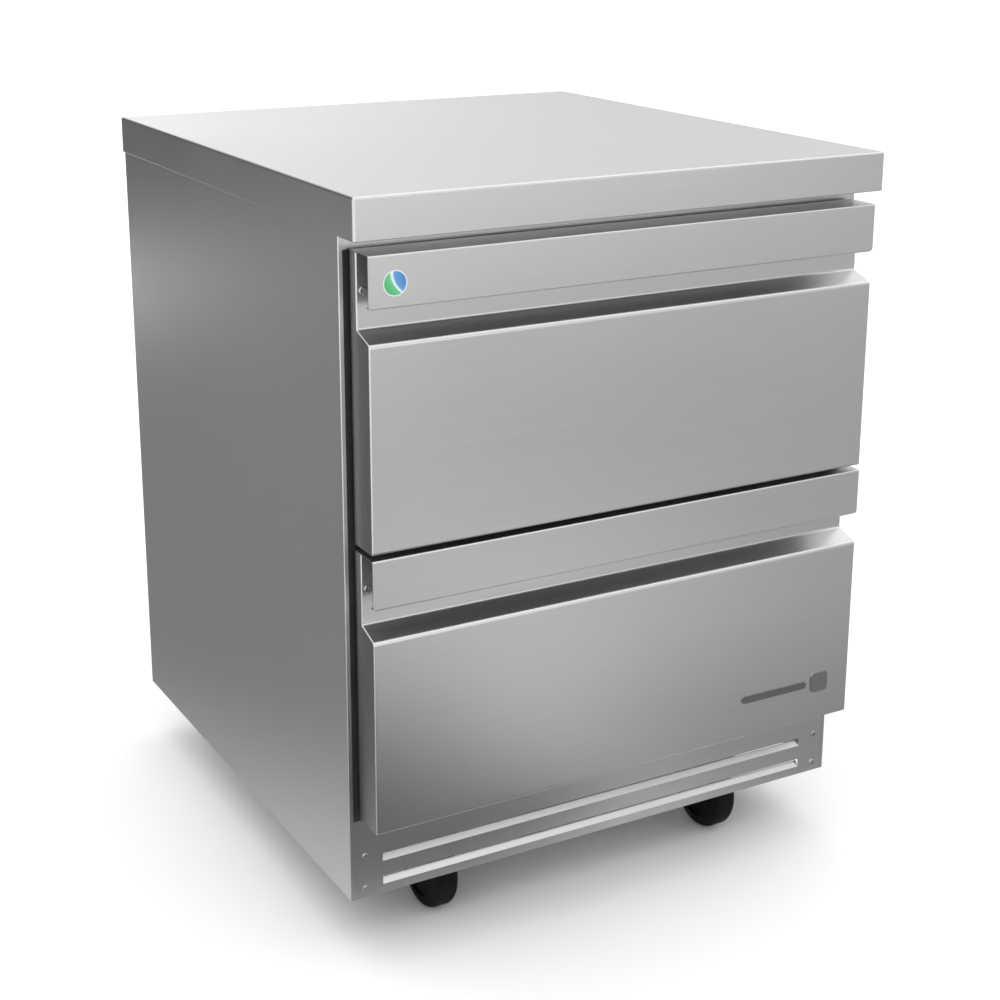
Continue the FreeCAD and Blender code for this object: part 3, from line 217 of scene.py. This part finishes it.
def zinc(name, colour=(0.50, 0.52, 0.54), roughness=0.42, size=150.0):
    """Zinc-coated sheet: small spangle of uneven size, faint stains and rolling marks."""
    made = Finish(name, 1.0, roughness)
    wander = made.noise((20.0, 20.0, 20.0), 2.0)
    big = made.grey(made.cells((size * 0.6, size * 0.6, size * 0.6), "Color"))
    small = made.grey(made.cells((size, size, size), "Color"))
    stain = made.noise((6.0, 6.0, 6.0), 4.0)
    level = made.sum(made.spread(big, 0.0, 0.30, 0.2, 0.8), made.spread(small, 0.0, 0.25, 0.2, 0.8),
                     made.spread(stain, 0.0, 0.30), made.spread(wander, 0.0, 0.15))
    made.colour(made.shade(level, (0.0, tint(colour, 0.88)), (1.0, tint(colour, 1.10))))
    made.rough(made.spread(level, roughness - 0.06, roughness + 0.08, 0.0, 1.0))
    made.bump(small, 0.00003, 0.3)
    made.bump(made.noise((500.0, 500.0, 500.0), 2.0), 0.00003, 0.3)
    return made.material


def plated(name, colour, roughness):
    """Plated or polished steel with fine handling marks."""
    made = Finish(name, 1.0, roughness)
    marks = made.noise((900.0, 40.0, 900.0), 4.0, 0.65)
    stain = made.noise((25.0, 25.0, 25.0), 3.0)
    made.colour(made.shade(made.spread(stain, 0.0, 1.0),
                           (0.0, tint(colour, 0.82)), (1.0, tint(colour, 1.08))))
    made.rough(made.spread(marks, roughness - 0.06, roughness + 0.12))
    made.bump(marks, 0.00004, 0.5)
    return made.material


def moulded(name, colour, roughness, grain=1500.0, relief=0.00012, dust=0.0, gloss=0.5):
    """Moulded plastic or rubber: fine leather-like grain, uneven sheen, and dust in patches."""
    made = Finish(name, 0.0, roughness)
    made.shader.inputs["Specular IOR Level"].default_value = gloss
    skin = made.noise((grain, grain, grain), 2.0)
    patch = made.noise((18.0, 18.0, 18.0), 4.0, 0.6)
    pale = tuple(channel + dust for channel in colour)
    made.colour(made.shade(made.spread(patch, 0.0, 1.0),
                           (0.0, tint(colour, 0.85)), (0.7, colour), (1.0, pale)))
    made.rough(made.spread(patch, roughness - 0.06, roughness + 0.08))
    made.bump(skin, relief, 0.5)
    return made.material


def foam_finish():
    """Cut polyurethane foam: small open cells, amber patches."""
    made = Finish("foam", 0.0, 0.9)
    pores = made.cells((700.0, 700.0, 700.0))
    patch = made.noise((12.0, 12.0, 12.0), 4.0)
    made.colour(made.shade(made.spread(patch, 0.0, 1.0),
                           (0.0, (0.55, 0.42, 0.20)), (1.0, (0.72, 0.62, 0.38))))
    made.rough(made.spread(pores, 0.80, 0.95))
    made.bump(pores, 0.0006, 0.6)
    return made.material


def fin_finish():
    """Aluminium fin stock seen on edge: light stripes for the fin edges and dark stripes of painted shade
    for the gaps between the fins.
    """
    made = Finish("fin_aluminium", 1.0, 0.4)
    fin_edges_and_painted_gaps = made.add("ShaderNodeTexWave", bands_direction="X")
    made.fill(fin_edges_and_painted_gaps, Vector=made.stretched((1.0, 1.0, 1.0)), Scale=110.0, Distortion=0.4, Detail=1.0)
    stain = made.noise((30.0, 30.0, 30.0), 3.0)
    level = made.sum(made.spread(fin_edges_and_painted_gaps.outputs["Fac"], 0.0, 0.7, 0.0, 1.0), made.spread(stain, 0.0, 0.3))
    # Painted shade: the darkest stop colours the gaps between fins; the lighter stops are the fin edges and
    # stains.
    made.colour(made.shade(level, (0.0, (0.18, 0.18, 0.19)), (0.6, (0.62, 0.63, 0.65)),
                           (1.0, (0.80, 0.81, 0.82))))
    made.rough(made.spread(stain, 0.32, 0.50))
    made.bump(fin_edges_and_painted_gaps.outputs["Fac"], 0.0006, 0.8)
    return made.material


def copper_finish():
    """Drawn copper tube with heat-darkened patches."""
    made = Finish("copper", 1.0, 0.3)
    bloom = made.noise((22.0, 22.0, 22.0), 5.0, 0.65)
    made.colour(made.shade(made.spread(bloom, 0.0, 1.0), (0.0, (0.36, 0.14, 0.07)),
                           (0.5, (0.78, 0.38, 0.22)), (1.0, (0.90, 0.52, 0.34))))
    made.rough(made.spread(bloom, 0.42, 0.24))
    made.bump(made.noise((300.0, 300.0, 300.0), 2.0), 0.00005, 0.5)
    return made.material


def enamel_finish():
    """Baked black paint with orange peel and a film of dust on top."""
    made = Finish("black_enamel", 0.0, 0.22)
    peel = made.noise((260.0, 260.0, 260.0), 1.0)
    normal = made.add("ShaderNodeNewGeometry").outputs["Normal"]
    split = made.add("ShaderNodeSeparateXYZ")
    made.tree.links.new(normal, split.inputs[0])
    patch = made.noise((35.0, 35.0, 35.0), 5.0, 0.6)
    film = made.add("ShaderNodeMath", operation="MULTIPLY")
    made.tree.links.new(made.spread(split.outputs["Z"], 0.0, 1.0, 0.2, 1.0), film.inputs[0])
    made.tree.links.new(made.spread(patch, 0.1, 0.7), film.inputs[1])
    made.colour(made.shade(film.outputs[0], (0.0, (0.012, 0.012, 0.013)), (1.0, (0.12, 0.115, 0.105))))
    made.rough(made.spread(film.outputs[0], 0.20, 0.60, 0.0, 0.7))
    made.bump(peel, 0.0002, 0.4)
    return made.material


def badge_finish(split_at):
    """Dark anodised bar left of the split and a polished square right of it, both blank."""
    made = Finish("badge_metal", 1.0, 0.25)
    split = made.add("ShaderNodeSeparateXYZ")
    made.tree.links.new(made.place, split.inputs[0])
    square = made.spread(split.outputs["X"], 0.0, 1.0, *(split_at - gap for gap in SQUARE_GAP))
    grain = made.noise(ALONG["x"], 4.0, 0.6)
    stops = ((0.0, (0.22, 0.22, 0.23)), (1.0, (0.28, 0.28, 0.29)))
    made.colour(made.blended(square, made.shade(made.spread(grain, 0.0, 1.0), *stops), (0.42, 0.42, 0.43)))
    made.rough(made.sum(made.spread(square, 0.34, 0.18, 0.0, 1.0), made.spread(grain, -0.03, 0.03)))
    made.bump(grain, 0.00003, 0.4)
    return made.material


def sticker_finish(centre, radius):
    """Printed disc: a green field and a blue field parted by a pale diagonal sweep, no lettering."""
    made = Finish("sticker_print", 0.0, 0.35)
    away = made.add("ShaderNodeVectorMath", operation="SUBTRACT")
    made.tree.links.new(made.place, away.inputs[0])
    away.inputs[1].default_value = centre
    scaled = made.add("ShaderNodeVectorMath", operation="SCALE")
    made.tree.links.new(away.outputs[0], scaled.inputs[0])
    scaled.inputs["Scale"].default_value = 1.0 / radius
    split = made.add("ShaderNodeSeparateXYZ")
    made.tree.links.new(scaled.outputs[0], split.inputs[0])
    grain = made.noise((900.0, 900.0, 900.0), 2.0)
    bend = made.add("ShaderNodeMath", operation="MULTIPLY")
    made.tree.links.new(split.outputs["Z"], bend.inputs[0])
    made.tree.links.new(split.outputs["Z"], bend.inputs[1])
    sweep = made.sum(made.spread(split.outputs["X"], -0.50, 0.50, -1.0, 1.0),
                     made.spread(split.outputs["Z"], -0.28, 0.28, -1.0, 1.0),
                     made.spread(bend.outputs[0], 0.55, 0.35, 0.0, 1.0),
                     made.spread(grain, -0.01, 0.01))
    print_ink = made.shade(sweep, (0.0, (0.05, 0.34, 0.14)), (0.44, (0.10, 0.46, 0.20)),
                           (0.49, (0.60, 0.72, 0.68)), (0.55, (0.56, 0.68, 0.74)),
                           (0.60, (0.09, 0.27, 0.56)), (1.0, (0.05, 0.18, 0.44)))
    length = made.add("ShaderNodeVectorMath", operation="LENGTH")
    made.tree.links.new(scaled.outputs[0], length.inputs[0])
    rim = made.spread(length.outputs["Value"], 0.0, 1.0, 0.90, 0.93)
    made.colour(made.blended(rim, print_ink, (0.62, 0.66, 0.64)))
    made.rough(made.spread(grain, 0.28, 0.45))
    made.bump(grain, 0.00003, 0.4)
    return made.material


PAINTED_RETURN_SHADE = 0.45      # drawer fronts: painted shade, the colour of the faces that look sideways as a share of the main face's colour
SQUARE_WIDE = 0.026      # the badge's square, in from its right end
SQUARE_GAP = (0.006, 0.002)

STEEL = {way: brushed(f"brushed_stainless_{way}", way) for way in "xyz"}
# Drawer fronts: brushed along X, with painted shade on their sideways faces.
STEEL["front"] = brushed("brushed_stainless_front_painted_shade", "x", painted_return_shade=PAINTED_RETURN_SHADE)
BRUSH_WAY = {"upper_drawer_front": "front", "lower_drawer_front": "front",
             "side_panel_left": "z", "side_panel_right": "z", "inner_liner": "y",
             "upper_drawer_cage": "y", "lower_drawer_cage": "y", "evaporator_cover": "z"}
sticker_low, sticker_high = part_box("round_sticker")
badge_low, badge_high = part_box("badge")

FINISHES = {
    "galvanised": zinc("galvanised"),
    "slide_steel": plated("slide_steel", (0.56, 0.56, 0.55), 0.34),
    "bright_steel": plated("bright_steel", (0.62, 0.62, 0.63), 0.24),
    "black_frame": moulded("black_frame", (0.018, 0.018, 0.019), 0.45),
    "white_plastic": moulded("white_plastic", (0.74, 0.74, 0.72), 0.38),
    "dark_plastic": moulded("dark_plastic", (0.035, 0.036, 0.038), 0.42),
    "gasket_rubber": moulded("gasket_rubber", (0.10, 0.10, 0.105), 0.55, dust=0.03),
    "wheel_rubber": moulded("wheel_rubber", (0.003, 0.003, 0.0032), 0.62, 900.0, dust=0.003, gloss=0.15),
    "mount_rubber": moulded("mount_rubber", (0.02, 0.02, 0.02), 0.6, dust=0.03),
    "foam": foam_finish(),
    "black_enamel": enamel_finish(),
    "fin_aluminium": fin_finish(),
    "copper": copper_finish(),
    "badge_metal": badge_finish(badge_high.x - SQUARE_WIDE),
    "sticker_print": sticker_finish((sticker_low + sticker_high) / 2, (sticker_high.x - sticker_low.x) / 2),
}


def dress_nodes():
    """Gives each CAD node the finish of its own material slot."""
    for name, piece in NODES.items():
        slot = piece.data.materials[0].name
        if slot == "brushed_stainless":
            finish = STEEL[BRUSH_WAY.get(name, "x")]
        else:
            finish = FINISHES[slot]
        piece.material_slots[0].material = finish


# ---------------------------------------------------------------- studio
FLOOR_REACH = 30.0
WORLD_STRENGTH = 2.0
WORLD_LEVELS = {0.05: 1.5, 0.38: 0.75, 0.80: 1.6}     # height on the sky: light level
SUN_FROM = (-0.25, -0.35, 1.0)
SUN_STRENGTH = 0.5
SUN_SPREAD = 100.0
UP = (0.0, 0.0, 1.0)

# What polished steel mirrors: place, the way the card faces, size, light level, solid share of its radius.
CARDS = {
    "glow_front": ((0.7, -4.6, 1.2), (-0.1, 1.0, -0.1), (3.0, 3.0), 2.0, 0.2),
    "flag_right": ((5.0, -4.2, 1.2), (-1.0, 0.8, 0.0), (4.4, 4.0), 0.05, 0.3),
    "glow_rear_left": ((0.2, 5.0, 0.9), (0.0, -1.0, 0.0), (5.0, 3.6), 2.0, 0.1),
    "glow_rear_right": ((3.4, 4.2, 0.9), (-0.6, -1.0, 0.0), (5.0, 3.6), 0.68, 0.1),
    "flag_left_floor": ((-1.35, 1.25, 0.004), UP, (3.2, 4.6), 0.27, 0.6),
    "flag_right_floor": ((1.9, 1.9, 0.004), UP, (4.0, 5.0), 0.4, 0.5),
    "flag_left": ((-2.6, 3.2, 1.6), (0.5, -0.85, 0.0), (7.4, 7.0), 0.11, 0.6),
    "flag_left_far": ((-2.2, 2.7, 0.003), UP, (2.6, 2.6), 0.3, 0.5),
    "flag_front": ((2.1, -2.4, 0.001), UP, (6.0, 6.4), 0.45, 0.75),
    "flag_front_left": ((-0.38, -0.85, 0.005), UP, (1.25, 1.4), 0.0, 0.3),
    "flag_front_middle": ((0.2, -1.2, 0.003), UP, (1.8, 1.6), 0.85, 0.3),
    "flag_skirt": ((0.62, -0.62, 0.006), UP, (1.3, 1.0), 0.3, 0.4),
    "flag_skirt_left": ((-0.12, -0.56, 0.007), UP, (0.8, 0.38), 0.1, 0.4),
}


def make_floor():
    """Plain pale floor."""
    mesh = bpy.data.meshes.new("floor")
    corners = [(x * FLOOR_REACH, y * FLOOR_REACH, 0) for x, y in ((-1, -1), (1, -1), (1, 1), (-1, 1))]
    mesh.from_pydata(corners, [], [(0, 1, 2, 3)])
    floor = bpy.data.objects.new("floor", mesh)
    bpy.context.scene.collection.objects.link(floor)
    made = Finish("floor", 0.0, 0.7)
    made.shader.inputs["Specular IOR Level"].default_value = 0.1
    made.colour(made.shade(made.noise((2.0, 2.0, 2.0), 3.0),
                           (0.0, (0.86, 0.86, 0.86)), (1.0, (0.90, 0.90, 0.90))))
    mesh.materials.append(made.material)


def make_world():
    """Even studio light whose level changes smoothly from the horizon to overhead."""
    world = bpy.data.worlds.new("studio")
    world.use_nodes = True
    tree = world.node_tree
    place = tree.nodes.new("ShaderNodeTexCoord")
    split = tree.nodes.new("ShaderNodeSeparateXYZ")
    ramp = tree.nodes.new("ShaderNodeValToRGB")
    ramp.color_ramp.interpolation = "EASE"
    ramp.color_ramp.elements.new(0.5)
    for element, (position, level) in zip(ramp.color_ramp.elements, WORLD_LEVELS.items()):
        share = level / WORLD_STRENGTH
        element.position = position
        element.color = (share, share, share, 1.0)
    tree.links.new(place.outputs["Generated"], split.inputs[0])
    tree.links.new(split.outputs["Z"], ramp.inputs["Fac"])
    tree.links.new(ramp.outputs["Color"], tree.nodes["Background"].inputs["Color"])
    tree.nodes["Background"].inputs["Strength"].default_value = WORLD_STRENGTH
    bpy.context.scene.world = world


def card(name, at, normal, size, level, solid):
    """Grey or bright card with feathered edges that only gloss picks up."""
    mesh = bpy.data.meshes.new(name)
    mesh.from_pydata([(-1, -1, 0), (1, -1, 0), (1, 1, 0), (-1, 1, 0)], [], [(0, 1, 2, 3)])
    piece = bpy.data.objects.new(name, mesh)
    piece.location = at
    piece.rotation_euler = Vector(normal).to_track_quat("Z", "Y").to_euler()
    piece.scale = (size[0] / 2, size[1] / 2, 1.0)
    bpy.context.scene.collection.objects.link(piece)
    material = bpy.data.materials.new(name)
    material.use_nodes = True
    tree = material.node_tree
    tree.nodes.clear()
    place = tree.nodes.new("ShaderNodeTexCoord")
    fade = tree.nodes.new("ShaderNodeTexGradient")
    fade.gradient_type = "SPHERICAL"
    ramp = tree.nodes.new("ShaderNodeMapRange")
    ramp.interpolation_type = "SMOOTHSTEP"
    ramp.inputs["From Max"].default_value = 1.0 - solid
    clear = tree.nodes.new("ShaderNodeBsdfTransparent")
    glow = tree.nodes.new("ShaderNodeEmission")
    glow.inputs["Color"].default_value = (level, level, level, 1.0)
    mix = tree.nodes.new("ShaderNodeMixShader")
    out = tree.nodes.new("ShaderNodeOutputMaterial")
    tree.links.new(place.outputs["Object"], fade.inputs["Vector"])
    tree.links.new(fade.outputs["Fac"], ramp.inputs["Value"])
    tree.links.new(ramp.outputs["Result"], mix.inputs[0])
    tree.links.new(clear.outputs[0], mix.inputs[1])
    tree.links.new(glow.outputs[0], mix.inputs[2])
    tree.links.new(mix.outputs[0], out.inputs["Surface"])
    mesh.materials.append(material)
    for kind in ("camera", "diffuse", "shadow", "transmission", "volume_scatter"):
        setattr(piece, "visible_" + kind, False)


def sky_light(name, direction, strength, spread):
    """Soft light from far overhead that matt surfaces get and gloss doesn't mirror."""
    data = bpy.data.lights.new(name, "SUN")
    data.energy = strength
    data.angle = math.radians(spread)
    lamp = bpy.data.objects.new(name, data)
    lamp.rotation_euler = Vector(direction).to_track_quat("Z", "Y").to_euler()
    lamp.visible_camera = False
    lamp.visible_glossy = False
    bpy.context.scene.collection.objects.link(lamp)


def light_studio():
    sky_light("overhead", SUN_FROM, SUN_STRENGTH, SUN_SPREAD)
    make_world()
    for name, placing in CARDS.items():
        card(name, *placing)


bpy.context.scene.view_settings.view_transform = "Standard"
make_camera()
dress_nodes()
make_floor()
light_studio()
